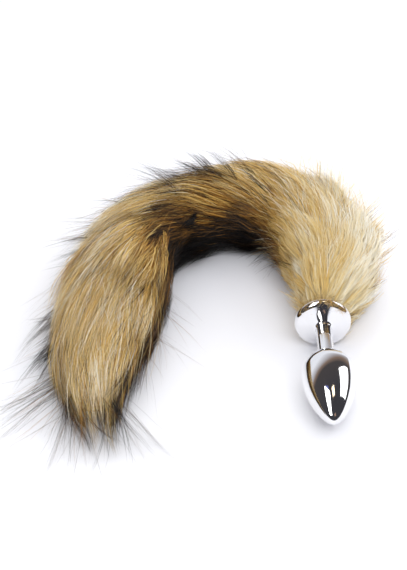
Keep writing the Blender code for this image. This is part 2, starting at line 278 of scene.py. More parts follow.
def turn_plug():
    shape = bmesh.new()
    for stretch in stretches:
        line = [shape.verts.new((r, 0, h)) for r, h in stretch]
        edges = [shape.edges.new(pair) for pair in zip(line, line[1:])]
        bmesh.ops.spin(shape, geom=line + edges, cent=(0, 0, 0), axis=(0, 0, 1),
                       angle=2 * math.pi, steps=PLUG_SIDES, use_merge=True)
    bmesh.ops.remove_doubles(shape, verts=shape.verts, dist=0.000002)
    bmesh.ops.recalc_face_normals(shape, faces=shape.faces)
    mesh = bpy.data.meshes.new("plug_polished")
    shape.to_mesh(mesh)
    shape.free()
    return mesh


def set_outline_normals(mesh):
    """Gives every corner the outline's own normal, from the stretch that its face belongs to."""
    tables = [(np.array(stretch), outline_normals(stretch)) for stretch in stretches]
    corner_normals = np.zeros((len(mesh.loops), 3))
    shoulder_end = NECK_LENGTH + 1e-6
    for face in mesh.polygons:
        points, normals = tables[0 if face.center.z > shoulder_end else 1]
        for corner in face.loop_indices:
            x, y, z = mesh.vertices[mesh.loops[corner].vertex_index].co
            radius = math.hypot(x, y)
            near = int(np.argmin((points[:, 0] - radius) ** 2 + (points[:, 1] - z) ** 2))
            out, along = normals[near]
            if radius < 1e-6:
                corner_normals[corner] = (0, 0, math.copysign(1, along))
            else:
                corner_normals[corner] = (out * x / radius, out * y / radius, along)
    mesh.shade_smooth()
    mesh.normals_split_custom_set([Vector(normal) for normal in corner_normals])


plug_mesh = turn_plug()
set_outline_normals(plug_mesh)
plug_mesh.transform(plug_placement)
plug = bpy.data.objects.new("plug_polished", plug_mesh)
bpy.context.scene.collection.objects.link(plug)
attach(plug, "root")
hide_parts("plug")
print("plug:", len(plug_mesh.polygons), "faces, lowest", round(min(v.co.z for v in plug_mesh.vertices), 5))

# %% [markdown]
# Polished aluminium is nearly a perfect mirror. What tells it from chrome in a drawing
# is a very slight haze and the faint marks of the last polishing, so a soft noise moves
# the roughness a little and a much finer one, stretched round the axis, makes a bump
# that is only just there.

# %% Polished metal
def polished_metal():
    material, shader = new_material("polished_metal")
    shader.inputs["Base Color"].default_value = (0.86, 0.86, 0.875, 1.0)
    shader.inputs["Metallic"].default_value = 1.0
    place = add_node(material, "ShaderNodeTexCoord").outputs["Object"]
    stretched = add_node(material, "ShaderNodeMapping", {"Vector": place, "Scale": (60, 900, 60)})
    haze = add_node(material, "ShaderNodeTexNoise", {"Vector": place, "Scale": 90.0, "Detail": 3.0})
    marks = add_node(material, "ShaderNodeTexNoise", {"Vector": stretched.outputs[0], "Scale": 4.0})
    rough = add_node(material, "ShaderNodeMapRange", {"Value": haze.outputs[0], "From Min": 0.3,
                     "From Max": 0.7, "To Min": 0.035, "To Max": 0.075})
    bump = add_node(material, "ShaderNodeBump", {"Height": marks.outputs[0], "Strength": 0.03,
                    "Distance": 0.00002})
    join(material, rough.outputs[0], shader.inputs["Roughness"])
    join(material, bump.outputs[0], shader.inputs["Normal"])
    return material


plug_mesh.materials.append(polished_metal())

# %% [markdown]
# The post that carries the tail is hidden inside the fur. Its solid is kept as it is and
# gets a plain turned metal, with rings left by the lathe.

# %% Turned metal
def turned_metal():
    material, shader = new_material("post_metal")
    shader.inputs["Metallic"].default_value = 1.0
    shader.inputs["Roughness"].default_value = 0.35
    place = add_node(material, "ShaderNodeTexCoord").outputs["Object"]
    rings = add_node(material, "ShaderNodeTexWave", {"Vector": place, "Scale": 900.0, "Distortion": 0.4},
                     bands_direction="Y")
    tint = colour_ramp(material, rings.outputs["Fac"], [(0.0, (176, 176, 180)), (1.0, (206, 206, 208))])
    bump = add_node(material, "ShaderNodeBump", {"Height": rings.outputs["Fac"], "Strength": 0.2,
                    "Distance": 0.00005})
    join(material, tint, shader.inputs["Base Color"])
    join(material, bump.outputs[0], shader.inputs["Normal"])
    return material


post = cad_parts["tail_post"]
post_material = turned_metal()
for slot in post.material_slots:
    slot.material = post_material

# %% [markdown]
# The tail is long, so places on it are easiest to give as a way along it, an angle round
# it and a height off it, like a street address. The route and widths are the same
# shares that the solid was made from. Angle 0 is the outer side of the bend, 90
# degrees the top and 180 degrees the inner side.

# %% Places on the tail
CLEARANCE = 0.0003
TAIL_SPREAD = 0.110
TAIL_REACH = 0.095
TAIL_RETURN = 0.172
BACKING_WIDTH = 0.0475
BACKING_HEIGHT = 0.0345
SHOULDER_SHARE = 0.42
UNDERSIDE_SQUARENESS = 0.72

# across to the left, away behind the flange, back towards the camera, width, height
ROUTE_ROWS = [
    ("collar", 0.000, -0.030, 0.000, 0.42, 0.72),
    ("root", -0.022, 0.100, 0.000, 0.58, 0.84),
    ("rise", -0.075, 0.400, 0.000, 0.90, 1.00),
    ("turn_in", -0.034, 0.730, 0.000, 0.97, 1.00),
    ("turn", 0.080, 0.940, 0.000, 0.92, 0.99),
    ("far_side", 0.255, 1.030, 0.000, 0.88, 0.97),
    ("arch", 0.470, 1.030, 0.010, 0.85, 0.95),
    ("turn_out", 0.690, 1.010, 0.062, 0.82, 0.95),
    ("limb_top", 0.840, 1.000, 0.210, 0.82, 0.94),
    ("limb", 0.920, 1.000, 0.390, 0.93, 0.90),
    ("limb_middle", 0.965, 1.000, 0.560, 0.95, 0.84),
    ("limb_low", 1.010, 1.000, 0.705, 0.80, 0.72),
    ("taper", 1.018, 1.000, 0.830, 0.56, 0.56),
    ("point", 1.000, 1.000, 0.930, 0.32, 0.36),
    ("tip", 0.975, 1.000, 1.000, 0.10, 0.14),
]
ROUTE_STEPS = 24


def tail_route():
    """The route as dense rows of x, y, width, height, with the way walked to each."""
    rows = []
    for _, across, away, back, width, height in ROUTE_ROWS:
        y = DISC_THICKNESS + CLEARANCE + TAIL_REACH * away - TAIL_RETURN * back
        rows.append((flange_centre.x - TAIL_SPREAD * across, flange_centre.y + y,
                     BACKING_WIDTH * width, BACKING_HEIGHT * height))
    route = curve_through(rows, ROUTE_STEPS)
    walked = np.concatenate([[0], np.cumsum(np.linalg.norm(np.diff(route[:, :2], axis=0), axis=1))])
    heading = np.gradient(route[:, :2], walked, axis=0)
    heading /= np.linalg.norm(heading, axis=1)[:, None]
    return walked, route, heading


walked, route, heading = tail_route()
TAIL_LENGTH = float(walked[-1])


def section_point(width, height, angle):
    """Distance aside and height of the backing's surface."""
    shoulder = height * SHOULDER_SHARE
    cosine = np.cos(angle)
    sine = np.sin(angle)
    squared = np.sign(cosine) * np.abs(cosine) ** UNDERSIDE_SQUARENESS
    aside = width / 2 * np.where(sine >= 0, cosine, squared)
    under = shoulder - shoulder * np.abs(sine) ** UNDERSIDE_SQUARENESS
    return aside, np.where(sine >= 0, shoulder + (height - shoulder) * np.abs(sine), under)


def tail_axes(along):
    """Centre, forward and side directions, widths and heights at ways along the tail."""
    inside = np.clip(along, 0, TAIL_LENGTH)
    x, y, width, height = (np.interp(inside, walked, route[:, k]) for k in range(4))
    forward = np.stack([np.interp(inside, walked, heading[:, 0]),
                        np.interp(inside, walked, heading[:, 1]), np.zeros_like(x)], axis=-1)
    forward /= np.linalg.norm(forward, axis=-1, keepdims=True)
    side = np.stack([forward[..., 1], -forward[..., 0], np.zeros_like(x)], axis=-1)
    centre = np.stack([x, y, np.zeros_like(x)], axis=-1) + forward * (along - inside)[..., None]
    return centre, forward, side, width, height


def on_tail(along, angle, lift):
    """Points over the backing and the outward direction at each."""
    centre, _, side, width, height = tail_axes(along)
    aside, up = section_point(width, height, angle)
    next_aside, next_up = section_point(width, height, angle + 0.02)
    out = np.stack([next_up - up, aside - next_aside], axis=-1)
    out /= np.linalg.norm(out, axis=-1, keepdims=True) + 1e-12
    vertical = np.array([0.0, 0.0, 1.0])
    outward = side * out[..., :1] + vertical * out[..., 1:]
    point = centre + side * aside[..., None] + vertical * up[..., None] + outward * lift[..., None]
    return point, outward


print("tail length", round(TAIL_LENGTH, 4), "m")

# %% [markdown]
# Fox-like fur is banded: each hair has a dull root, a bright middle and a darker tip, and
# the mix differs from place to place. One number, the tone, says how dark a hair is:
# 0 is pale cream, a half is gold and 1 is nearly black. A short table gives the tone
# along the tail and round it, read off the photograph: cream by the plug, gold
# over the bend, a black band on the inner side, and dark tips at the end.

# %% Colour of the coat by place
TONE_ANGLES = np.radians([-40, 0, 45, 90, 130, 160, 185, 220])

# share of the tail, then tones at each of the angles above
TONE_ROWS = [
    ("collar", 0.00, 0.18, 0.16, 0.18, 0.22, 0.20, 0.18, 0.24, 0.30),
    ("base", 0.08, 0.10, 0.07, 0.09, 0.19, 0.17, 0.10, 0.16, 0.26),
    ("rise", 0.17, 0.08, 0.02, 0.05, 0.18, 0.24, 0.30, 0.45, 0.58),
    ("turn_in", 0.25, 0.12, 0.03, 0.05, 0.17, 0.31, 0.48, 0.76, 0.88),
    ("turn", 0.32, 0.18, 0.11, 0.14, 0.22, 0.38, 0.62, 0.97, 1.00),
    ("far_side", 0.39, 0.26, 0.20, 0.20, 0.28, 0.42, 0.72, 1.00, 1.00),
    ("arch", 0.46, 0.32, 0.21, 0.19, 0.27, 0.40, 0.70, 1.00, 1.00),
    ("turn_out", 0.53, 0.34, 0.18, 0.12, 0.19, 0.38, 0.72, 1.00, 1.00),
    ("limb_top", 0.60, 0.40, 0.24, 0.21, 0.30, 0.60, 0.78, 0.95, 1.00),
    ("limb", 0.68, 0.46, 0.30, 0.26, 0.25, 0.33, 0.44, 0.78, 0.95),
    ("limb_middle", 0.76, 0.52, 0.32, 0.27, 0.24, 0.29, 0.33, 0.66, 0.92),
    ("limb_low", 0.84, 0.56, 0.32, 0.25, 0.25, 0.29, 0.33, 0.60, 0.92),
    ("taper", 0.92, 0.58, 0.32, 0.24, 0.25, 0.28, 0.33, 0.62, 0.92),
    ("tip", 1.00, 0.58, 0.34, 0.25, 0.24, 0.28, 0.36, 0.66, 0.92),
]

# marks on the coat: share and half length along it, angle and half width round it in
# degrees, and how much darker it is there
MARK_ROWS = [
    ("orange_streak", 0.860, 0.055, 133, 8, 0.26),
    ("cream_streak", 0.740, 0.060, 108, 9, -0.03),
    ("gold_left", 0.800, 0.040, 62, 10, 0.12),
    ("dark_spot", 0.500, 0.016, 138, 11, 0.40),
    ("crease", 0.570, 0.050, 152, 14, 0.30),
    ("slanting_streak", 0.690, 0.026, 152, 8, 0.30),
    ("arch_band", 0.430, 0.016, 112, 16, 0.34),
    ("arch_gold", 0.400, 0.030, 70, 20, -0.08),
]
tone_ways = np.array([row[1] for row in TONE_ROWS])
tone_table = np.array([row[2:] for row in TONE_ROWS])


def place_tone(along, angle):
    """Tone of the coat at places on the tail, between the table's rows and columns."""
    share = np.clip(along / TAIL_LENGTH, 0, 1)
    column = np.interp(angle, TONE_ANGLES, np.arange(len(TONE_ANGLES)))
    low = np.floor(column).astype(int)
    high = np.minimum(low + 1, len(TONE_ANGLES) - 1)
    by_column = np.stack([np.interp(share, tone_ways, tone_table[:, k]) for k in range(len(TONE_ANGLES))])
    index = np.arange(len(share))
    part = column - low
    tone = by_column[low, index] * (1 - part) + by_column[high, index] * part
    for _, way, half_length, degrees, half_width, change in MARK_ROWS:
        off_along = (share - way) / half_length
        off_round = (np.degrees(angle) - degrees) / half_width
        tone += change * np.exp(-off_along ** 2 - off_round ** 2)
    return tone


# %% [markdown]
# Hair grows in tufts that share a direction and close to a point, and that is what makes
# fur look like fur. So the tail is first strewn with tufts of two sizes, each with its
# own lean, rise and tone. Every hair then leans towards the tuft that it grows in, more
# and more towards its tip.

# %% Tufts
chance = np.random.default_rng(20)
LOWEST_ANGLE = math.radians(-46)
HIGHEST_ANGLE = math.radians(226)
COLLAR_SHARE = 0.14
COLLAR_TRIM = math.radians(68)
AROUND = 0.021

# share of the tail, hair length, rise from root to tip, both in metres
GROWTH_ROWS = [
    ("collar", 0.00, 0.018, 0.0050),
    ("base", 0.06, 0.024, 0.0070),
    ("rise", 0.16, 0.032, 0.0080),
    ("turn", 0.32, 0.038, 0.0076),
    ("arch", 0.46, 0.044, 0.0074),
    ("limb_top", 0.60, 0.052, 0.0072),
    ("limb", 0.72, 0.054, 0.0050),
    ("limb_low", 0.82, 0.048, 0.0036),
    ("taper", 0.90, 0.040, 0.0026),
    ("tip", 1.00, 0.030, 0.0020),
]
growth_ways = np.array([row[1] for row in GROWTH_ROWS])
growth_length = np.array([row[2] for row in GROWTH_ROWS])
growth_rise = np.array([row[3] for row in GROWTH_ROWS])

# how the coat is combed: sideways slope towards the inner side, at each of the angles
FLOW_ANGLES = np.radians([0, 45, 90, 135, 180])
FLOW_ROWS = [
    ("collar", 0.00, -0.10, -0.05, 0.00, 0.05, 0.10),
    ("base", 0.08, -0.12, -0.08, 0.00, 0.08, 0.12),
    ("rise", 0.18, -0.05, -0.10, -0.10, -0.05, 0.00),
    ("turn", 0.28, -0.05, -0.30, -0.42, -0.40, -0.25),
    ("arch", 0.42, -0.05, -0.28, -0.42, -0.38, -0.20),
    ("turn_out", 0.52, -0.08, -0.30, -0.28, -0.18, -0.05),
    ("limb_top", 0.60, -0.04, -0.26, -0.08, 0.06, 0.03),
    ("limb", 0.72, 0.06, -0.18, 0.10, 0.12, 0.00),
    ("limb_low", 0.84, 0.08, -0.02, 0.06, 0.00, -0.06),
    ("tip", 1.00, 0.00, 0.00, 0.00, 0.00, 0.00),
]
flow_ways = np.array([row[1] for row in FLOW_ROWS])
flow_table = np.array([row[2:] for row in FLOW_ROWS])


def combed_lean(along, angle):
    """Sideways slope of the coat at places on the tail."""
    share = along / TAIL_LENGTH
    by_column = [np.interp(share, flow_ways, flow_table[:, k]) for k in range(len(FLOW_ANGLES))]
    lean = np.zeros_like(share)
    for number, column in enumerate(by_column):
        peak = np.zeros(len(FLOW_ANGLES))
        peak[number] = 1.0
        lean += column * np.interp(angle, FLOW_ANGLES, peak)
    return lean


def scatter(count, first=0.012, last=0.93):
    """Random places on the tail, fewer where it is thin."""
    places = []
    found = 0
    while found < count:
        along = chance.uniform(first, last, count * 2) * TAIL_LENGTH
        width = np.interp(along, walked, route[:, 2])
        keep = along[chance.random(count * 2) < width / BACKING_WIDTH]
        places.append(keep)
        found += len(keep)
    along = np.concatenate(places)[:count]
    behind_flange = np.clip(1 - along / (TAIL_LENGTH * COLLAR_SHARE), 0, 1)
    low = LOWEST_ANGLE + COLLAR_TRIM * behind_flange
    high = HIGHEST_ANGLE - COLLAR_TRIM * behind_flange
    return along, chance.uniform(low, high)


def flat_place(along, angle):
    """Places on the tail rolled out flat, in metres, for measuring nearness."""
    return np.stack([along, angle * AROUND], axis=1).astype(np.float32)


def nearest(places, centres):
    """Index of the nearest centre to each place."""
    found = np.empty(len(places), dtype=np.int32)
    for start in range(0, len(places), 4000):
        part = places[start:start + 4000]
        gap = ((part[:, None, :] - centres[None, :, :]) ** 2).sum(axis=2)
        found[start:start + 4000] = gap.argmin(axis=1)
    return found


def make_tufts(count, lean, lift_spread, tone_spread):
    along, angle = scatter(count)
    return {
        "along": along,
        "angle": angle,
        "flat": flat_place(along, angle),
        "lean": combed_lean(along, angle) + chance.normal(0, lean, count),
        "rise": np.clip(chance.normal(1, lift_spread, count), 0.45, 1.9),
        "reach": np.clip(chance.normal(1, 0.14, count), 0.7, 1.35),
        "tone": np.maximum(chance.normal(0, tone_spread, count), -tone_spread),
    }


locks = make_tufts(190, 0.15, 0.26, 0.05)
wisps = make_tufts(2600, 0.12, 0.22, 0.07)
print("locks:", len(locks["along"]), "wisps:", len(wisps["along"]))

# %% [markdown]
# A hair is drawn by a few points. It leaves the backing, lifts, and lies over in the
# direction of the tail's end. On a bend a soft short hair follows the curve, but a long
# stiff one flies straight on, so each path is a blend of one bent with the tail and one
# straight from its root. Points that would pass under the table are laid on it.

# %% Paths of hairs
FLOOR_GAP = 0.0003
ROOT_DEPTH = 0.0042
COAT_END = 0.962


def root_depth(along):
    """How deep under the backing's surface hairs are rooted, less where the tail is thin."""
    width = np.interp(along, walked, route[:, 2])
    return ROOT_DEPTH * np.clip(1.2 * width / BACKING_WIDTH - 0.05, 0.05, 1)


def hair_paths(along, angle, length, rise, lean, straight, points, wave=0.0):
    """Points of each hair, from root to tip, as an array of hairs by points by xyz."""
    count = len(along)
    depth = root_depth(along)
    share = np.linspace(0, 1, points)[None, :]
    forwardness = np.sqrt(np.clip(1 - (rise / length) ** 2, 0.2, 1))[:, None]
    way = along[:, None] + length[:, None] * forwardness * share
    lift = rise[:, None] * (1 - (1 - share) ** 1.9) - depth[:, None]
    phase = chance.uniform(0, 2 * math.pi, (count, 1))
    sway = wave * np.sin(share * 7 + phase) * share / AROUND
    around = angle[:, None] + (lean * length / AROUND)[:, None] * share + sway
    bent, _ = on_tail(way, around, lift)
    _, forward, side, _, _ = tail_axes(along)
    root, outward = on_tail(along, angle, -depth)
    across = np.cross(outward, forward)
    flown = (root[:, None, :] + forward[:, None, :] * (way - along[:, None])[..., None]
             + outward[:, None, :] * (lift + depth[:, None])[..., None]
             + across[:, None, :] * ((around - angle[:, None]) * AROUND)[..., None])
    mix = straight[:, None, None]
    return bent * (1 - mix) + flown * mix, outward


def room_to_end(along):
    """Length that a hair of the coat may have before it passes the tail's end."""
    return np.maximum(COAT_END * TAIL_LENGTH - along, 0.007)


def tuft_paths(tufts, points, straight=0.2):
    share = tufts["along"] / TAIL_LENGTH
    length = np.interp(share, growth_ways, growth_length) * tufts["reach"]
    length = np.minimum(length, room_to_end(tufts["along"]) * tufts["reach"])
    rise = np.interp(share, growth_ways, growth_rise) * tufts["rise"]
    count = len(share)
    return hair_paths(tufts["along"], tufts["angle"], length, rise, tufts["lean"],
                      np.full(count, straight), points)[0]


def keep_over_table(paths):
    """Lays what would sink into the table on it, with tips a little apart."""
    paths[..., 2] = np.maximum(paths[..., 2], FLOOR_GAP + 0.0006 * chance.random(paths.shape[:2]))
    return paths


# %% [markdown]
# Each hair becomes a thin ribbon that narrows to its tip: two triangles for each step
# and one for the tip. Ribbons face outwards with a random roll, so the coat glitters
# softly. Their texture place is the coat's colour chart: across is the tone and up is
# the way from root to tip, so one small chart colours every hair.

# %% Ribbons
CHART_STRIP = 0.012


def ribbon_mesh(name, paths, outward, width, tone):
    """One mesh of many ribbons."""
    hairs, points, _ = paths.shape
    tangent = np.gradient(paths, axis=1)
    tangent /= np.linalg.norm(tangent, axis=2, keepdims=True) + 1e-12
    roll = chance.uniform(-0.75, 0.75, hairs)[:, None, None]
    face = outward[:, None, :] - tangent * (outward[:, None, :] * tangent).sum(axis=2, keepdims=True)
    face /= np.linalg.norm(face, axis=2, keepdims=True) + 1e-9
    side = np.cross(tangent, face)
    face = face * np.cos(roll) + side * np.sin(roll)
    side = np.cross(tangent, face)
    share = np.linspace(0, 1, points)
    taper = (0.75 + 0.25 * np.minimum(share * 5, 1)) * (1 - share ** 2.2)
    half = side * (width[:, None] * taper[None, :] / 2)[..., None]
    per_hair = 2 * points - 1
    coords = np.empty((hairs, per_hair, 3), dtype=np.float32)
    normals = np.empty_like(coords)
    chart = np.empty((hairs, per_hair, 2), dtype=np.float32)
    soft = face * 0.55 + outward[:, None, :] * 0.6
    for place, sign in ((0, -1), (1, 1)):
        body = slice(place, 2 * points - 2, 2)
        coords[:, body] = (paths + half * sign)[:, :-1]
        normals[:, body] = (soft + side * (0.35 * sign))[:, :-1]
        chart[:, body, 0] = (tone + CHART_STRIP * sign)[:, None]
        chart[:, body, 1] = share[None, :-1]
    coords[:, -1] = paths[:, -1]
    normals[:, -1] = soft[:, -1]
    chart[:, -1, 0] = tone
    chart[:, -1, 1] = 1.0
    coords[..., 2] = np.maximum(coords[..., 2], 0.0001)
    chart = np.clip(chart, 0.004, 0.996)
    normals /= np.linalg.norm(normals, axis=2, keepdims=True)

    quads = np.array([(2 * k, 2 * k + 1, 2 * k + 3, 2 * k + 2) for k in range(points - 2)])
    tip = np.array([2 * points - 4, 2 * points - 3, 2 * points - 2])
    pattern = np.concatenate([quads.ravel(), tip])
    starts = (np.arange(hairs) * per_hair)[:, None]
    corners = (starts + pattern[None, :]).ravel().astype(np.int32)
    sizes = np.tile(np.array([4] * (points - 2) + [3]), hairs)
    mesh = bpy.data.meshes.new(name)
    mesh.vertices.add(hairs * per_hair)
    mesh.vertices.foreach_set("co", coords.ravel())
    mesh.loops.add(len(corners))
    mesh.loops.foreach_set("vertex_index", corners)
    mesh.polygons.add(len(sizes))
    mesh.polygons.foreach_set("loop_start", np.concatenate([[0], np.cumsum(sizes)[:-1]]).astype(np.int32))
    mesh.update(calc_edges=True)
    layer = mesh.uv_layers.new(name="OFBake")
    layer.data.foreach_set("uv", chart.reshape(-1, 2)[corners].ravel())
    mesh.shade_smooth()
    mesh.normals_split_custom_set_from_vertices(normals.reshape(-1, 3))
    return mesh, hairs * (2 * (points - 2) + 1)


# %% [markdown]
# The coat's colour chart is made of three colour ramps over the tone: one for the roots,
# one for the middle of the hair and one for the tips. The way along the hair blends
# them. Nothing else colours a hair, so its colour depends on the chart alone.

# %% Fur material
ROOT_COLOURS = [(0.0, (224, 212, 186)), (0.12, (216, 200, 160)), (0.3, (200, 172, 112)),
                (0.5, (160, 122, 58)), (0.75, (88, 64, 34)), (0.9, (38, 29, 22)), (1.0, (14, 12, 11))]
MIDDLE_COLOURS = [(0.0, (251, 248, 238)), (0.1, (241, 232, 206)), (0.2, (230, 207, 148)),
                  (0.3, (225, 190, 112)), (0.4, (213, 172, 88)), (0.5, (192, 144, 64)),
                  (0.6, (168, 114, 40)), (0.75, (106, 74, 34)), (0.9, (42, 32, 24)), (1.0, (16, 13, 13))]
TIP_COLOURS = [(0.0, (250, 247, 240)), (0.1, (240, 231, 206)), (0.25, (224, 197, 132)),
               (0.38, (207, 172, 102)), (0.5, (160, 128, 78)), (0.6, (104, 82, 56)),
               (0.7, (58, 49, 43)), (0.85, (28, 25, 28)), (1.0, (12, 11, 14))]


def fur_material():
    material, shader = new_material("fox_fur")
    chart = add_node(material, "ShaderNodeUVMap", uv_map="OFBake")
    axes = add_node(material, "ShaderNodeSeparateXYZ", {"Vector": chart.outputs["UV"]})
    tone = axes.outputs["X"]
    way = axes.outputs["Y"]
    root = colour_ramp(material, tone, ROOT_COLOURS)
    middle = colour_ramp(material, tone, MIDDLE_COLOURS)
    tip = colour_ramp(material, tone, TIP_COLOURS)
    up = add_node(material, "ShaderNodeMapRange", {"Value": way, "From Min": 0.05, "From Max": 0.38},
                  interpolation_type="SMOOTHSTEP")
    out = add_node(material, "ShaderNodeMapRange", {"Value": way, "From Min": 0.6, "From Max": 0.95},
                   interpolation_type="SMOOTHSTEP")
    body = mix_colours(material, up.outputs[0], root, middle)
    coat = mix_colours(material, out.outputs[0], body, tip)
    join(material, coat, shader.inputs["Base Color"])
    shader.inputs["Roughness"].default_value = 0.5
    shader.inputs["Specular IOR Level"].default_value = 0.28
    return material


def mix_colours(material, factor, first, second):
    node = material.node_tree.nodes.new("ShaderNodeMix")
    node.data_type = "RGBA"
    join(material, factor, node.inputs[0])
    join(material, first, node.inputs[6])
    join(material, second, node.inputs[7])
    return node.outputs[2]


coat_material = fur_material()
added_triangles = {}


def add_fur(name, paths, outward, width, tone):
    mesh, triangles = ribbon_mesh(name, keep_over_table(paths), outward, width, tone)
    mesh.materials.append(coat_material)
    piece = bpy.data.objects.new(name, mesh)
    bpy.context.scene.collection.objects.link(piece)
    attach(piece, "root")
    added_triangles[name] = triangles
    print(name, len(paths), "hairs,", triangles, "triangles")
    return piece


# %% [markdown]
# Under the hair lies the backing's own skin, covered with short dull fur. It closes the
# gaps between hairs, so no table shows through, and it stands for the solid that the
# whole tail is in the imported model. It starts as one ring that is extruded from section
# to section along the route.

# %% Skin under the hair
SKIN_SIDES = 40
SKIN_RINGS = 90
SKIN_DEPTH_SHARE = 0.9
SKIN_END = 0.93


def tail_skin():
    shape = bmesh.new()
    angles = np.linspace(0, 2 * math.pi, SKIN_SIDES, endpoint=False) + 0.01
    ways = np.linspace(0.006, SKIN_END, SKIN_RINGS) * TAIL_LENGTH
    ring = bmesh.ops.create_circle(shape, cap_ends=False, segments=SKIN_SIDES, radius=BACKING_WIDTH / 2)["verts"]
    edges = [edge for edge in shape.edges]
    first_ring = ring
    for step, way in enumerate(ways):
        if step:
            made = bmesh.ops.extrude_edge_only(shape, edges=edges)["geom"]
            moved = [item for item in made if isinstance(item, bmesh.types.BMVert)]
            edges = [item for item in made if isinstance(item, bmesh.types.BMEdge)]
            ring = follow_ring(ring, moved)
        whole_ring = np.full(SKIN_SIDES, way)
        places, _ = on_tail(whole_ring, angles, -SKIN_DEPTH_SHARE * root_depth(whole_ring))
        for vertex, place in zip(ring, places):
            vertex.co = (place[0], place[1], max(place[2], FLOOR_GAP))
    for end in (first_ring, ring):
        bmesh.ops.contextual_create(shape, geom=end)
    bmesh.ops.recalc_face_normals(shape, faces=shape.faces)
    mesh = bpy.data.meshes.new("tail_skin")
    shape.to_mesh(mesh)
    shape.free()
    mesh.shade_smooth()
    return mesh


def follow_ring(ring, moved):
    """The new ring's vertices in the order of the ring that they were extruded from."""
    moved = set(moved)
    return [next(edge.other_vert(vertex) for edge in vertex.link_edges if edge.other_vert(vertex) in moved)
            for vertex in ring]


def skin_material():
    material, shader = new_material("tail_skin")
    place = add_node(material, "ShaderNodeTexCoord").outputs["Object"]
    fine = add_node(material, "ShaderNodeTexNoise", {"Vector": place, "Scale": 700.0, "Detail": 4.0})
    broad = add_node(material, "ShaderNodeTexNoise", {"Vector": place, "Scale": 45.0, "Detail": 3.0})
    light = colour_ramp(material, fine.outputs[0], [(0.35, (120, 96, 62)), (0.65, (176, 146, 100))])
    dark = colour_ramp(material, fine.outputs[0], [(0.35, (46, 36, 26)), (0.65, (92, 70, 44))])
    join(material, mix_colours(material, broad.outputs[0], light, dark), shader.inputs["Base Color"])
    bump = add_node(material, "ShaderNodeBump", {"Height": fine.outputs[0], "Strength": 0.6,
                    "Distance": 0.0006})
    join(material, bump.outputs[0], shader.inputs["Normal"])
    shader.inputs["Roughness"].default_value = 0.9
    return material


skin_mesh = tail_skin()
skin_mesh.materials.append(skin_material())
skin = bpy.data.objects.new("tail_skin", skin_mesh)
bpy.context.scene.collection.objects.link(skin)
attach(skin, "root")
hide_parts("tail_fur")
print("skin:", len(skin_mesh.polygons), "faces")

# %% [markdown]
# The coat has two layers. The underfur is short, fine and close, and fills the outline.
# The cover hairs are longer and lie in locks with pointed ends. Both are strewn over the
# whole tail and then sorted along it, so each stretch of the tail is a piece of its own.

# %% Underfur and cover hair
UNDER_HAIRS = 84000
COVER_HAIRS = 56000
UNDER_PIECES = 3
COVER_PIECES = 3
SEEN_SHARE = 0.55


def grow(count, points, reach, rise_share, hold_lock, hold_wisp, straight, tone_spread, tone_shift):
    """Strews hairs, bends each towards its lock and wisp, and gives each a tone."""
    along, angle = scatter(count)
    flat = flat_place(along, angle)
    lock = nearest(flat, locks["flat"])
    wisp = nearest(flat, wisps["flat"])
    share = along / TAIL_LENGTH
    own = np.clip(chance.normal(1, 0.16, count), 0.5, 1.5)
    length = np.interp(share, growth_ways, growth_length) * reach * own * wisps["reach"][wisp]
    length = np.minimum(length, room_to_end(along) * chance.uniform(0.8, 1.15, count))
    rise = (np.interp(share, growth_ways, growth_rise) * rise_share * locks["rise"][lock]
            * wisps["rise"][wisp] * np.clip(chance.normal(1, 0.22, count), 0.4, 1.7))
    rise *= 0.72 + 0.28 * np.maximum(np.sin(angle), 0)
    lean = (locks["lean"][lock] + wisps["lean"][wisp]) / 2 + chance.normal(0, 0.11, count)
    straight = straight * np.interp(share, (0.55, 0.75), (1.0, 0.3))
    paths, outward = hair_paths(along, angle, length, rise, lean, straight, points, 0.0006)
    pull = np.linspace(0, 1, points)[None, :, None] ** 1.3
    lock_way = tuft_paths(locks, points)
    wisp_way = tuft_paths(wisps, points)
    paths = paths * (1 - hold_wisp * pull) + wisp_way[wisp] * (hold_wisp * pull)
    paths = paths * (1 - hold_lock * pull) + lock_way[lock] * (hold_lock * pull)
    seen = along + SEEN_SHARE * length
    mixed = np.interp(share, (0.10, 0.34), (0.4, 1.0))
    odd = chance.random(count)
    own_tone = chance.normal(0, tone_spread, count) + np.where(odd < 0.06, 0.40, 0.0)
    own_tone -= np.where(odd > 0.90, 0.18, 0.0)
    tone = (place_tone(seen, angle) + tone_shift
            + (locks["tone"][lock] + wisps["tone"][wisp] + own_tone) * mixed)
    order = np.argsort(along)
    return paths[order], outward[order], np.clip(tone, 0, 1)[order]


def add_stretches(name, pieces, paths, outward, tone, width):
    """Cuts sorted hairs into pieces of equal count along the tail."""
    for number, part in enumerate(np.array_split(np.arange(len(paths)), pieces), start=1):
        own_width = width * chance.uniform(0.75, 1.25, len(part))
        add_fur(f"{name}_{number}", paths[part], outward[part], own_width, tone[part])


under = grow(UNDER_HAIRS, 4, 0.60, 0.86, 0.18, 0.35, 0.1, 0.07, 0.02)
add_stretches("fur_under", UNDER_PIECES, *under, 0.00030)
cover = grow(COVER_HAIRS, 5, 1.0, 1.12, 0.42, 0.48, 0.28, 0.10, -0.01)
add_stretches("fur_cover", COVER_PIECES, *cover, 0.00032)

# %% [markdown]
# Long dark guard hairs stand out over the coat, singly, and are what breaks the outline
# up. They are stiffer, so they fly straight past the bend.

# %% Guard hairs
GUARD_HAIRS = 4200
GUARD_WIDTH = 0.00022
ROOM_ROUND_BOX = Vector((0.0148, 0.0160, 0.0105))


